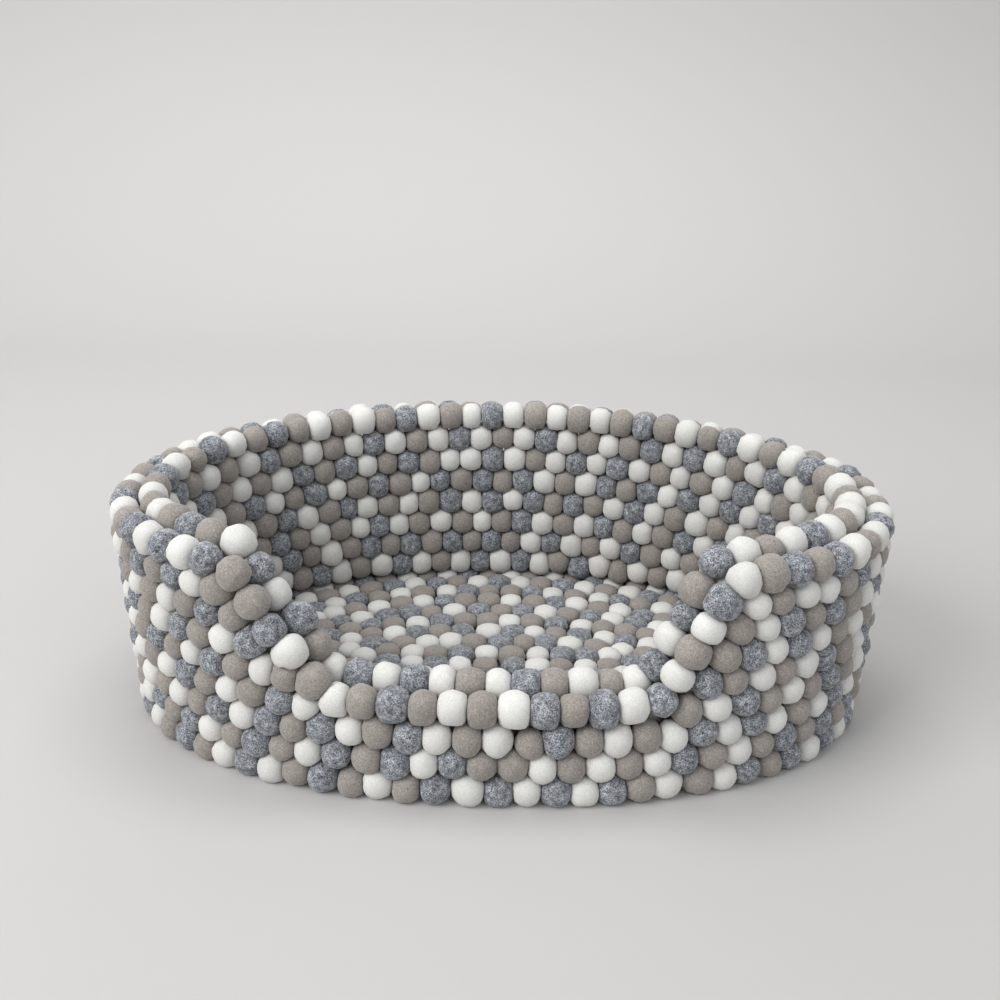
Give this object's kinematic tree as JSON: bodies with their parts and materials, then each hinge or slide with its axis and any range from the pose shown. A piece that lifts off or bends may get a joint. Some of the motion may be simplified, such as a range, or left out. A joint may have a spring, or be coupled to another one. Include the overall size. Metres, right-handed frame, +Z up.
{
  "type": "felted wool ball pet bed",
  "caption": "Oval pet bed with double walls and a floor sewn from rows of felted wool balls, a beaded rim and a low entrance in front.",
  "frame": {"origin": "on the floor under the middle of the bed's oval", "axes": "+X along the bed's length, -Y towards the low entrance, +Z up"},
  "size_m": [0.6442, 0.3983, 0.202],
  "materials": {
    "natural_white_felt": "matt, faintly fuzzy wet-felted wool",
    "taupe_felt": "matt, faintly fuzzy wet-felted wool",
    "marled_grey_felt": "matt wet-felted wool of mixed light and dark fibres"
  },
  "bodies": {
    "root": {"floor_mat": "taupe_felt", "outer_wall": "marled_grey_felt", "inner_wall": "taupe_felt", "outer_rim": "natural_white_felt", "inner_rim": "natural_white_felt"}
  },
  "joints": []
}
